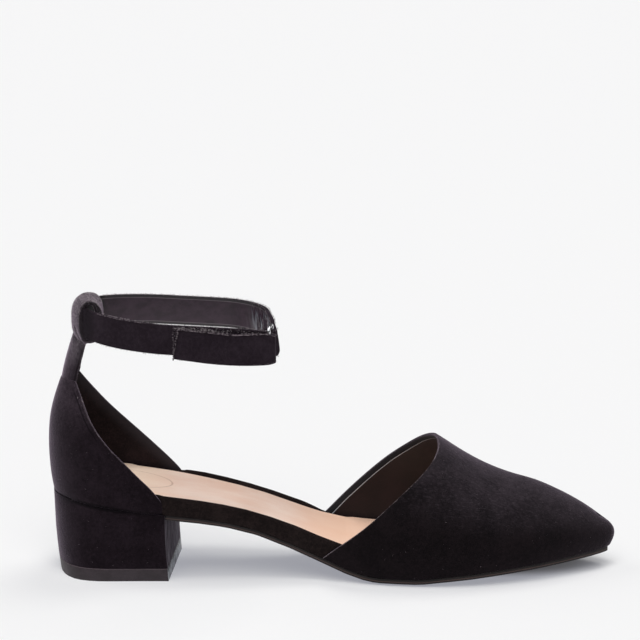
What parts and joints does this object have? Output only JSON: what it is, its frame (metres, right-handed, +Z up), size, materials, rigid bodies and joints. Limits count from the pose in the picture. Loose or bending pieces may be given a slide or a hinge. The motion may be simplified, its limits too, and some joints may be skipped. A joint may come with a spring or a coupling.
{
  "type": "pointed two-piece court shoe with block heel and ankle strap",
  "caption": "Black suede pointed court shoe with cut-away sides, a low block heel and an ankle strap that runs through a loop on a tall back tab and folds back through a metal ring.",
  "frame": {"origin": "on the floor under the middle of the shoe's bounding box", "axes": "+X from heel to toe, +Y to the shoe's inner side, +Z up; the outer side faces -Y"},
  "size_m": [0.2636, 0.0754, 0.1284],
  "materials": {
    "suede": "black suede with a soft nap",
    "sole_rubber": "matt dark brown rubber",
    "tan_leather": "smooth pale tan leather",
    "ring_metal": "bright silver-coloured wire"
  },
  "bodies": {
    "root": {"outsole": "sole_rubber", "footbed_board": "suede", "insole_sock": "tan_leather", "heel_block": "suede", "top_lift": "sole_rubber", "vamp": "suede", "counter": "suede", "back_tab": "suede", "ankle_strap": "suede", "strap_ring": "ring_metal"}
  },
  "joints": []
}
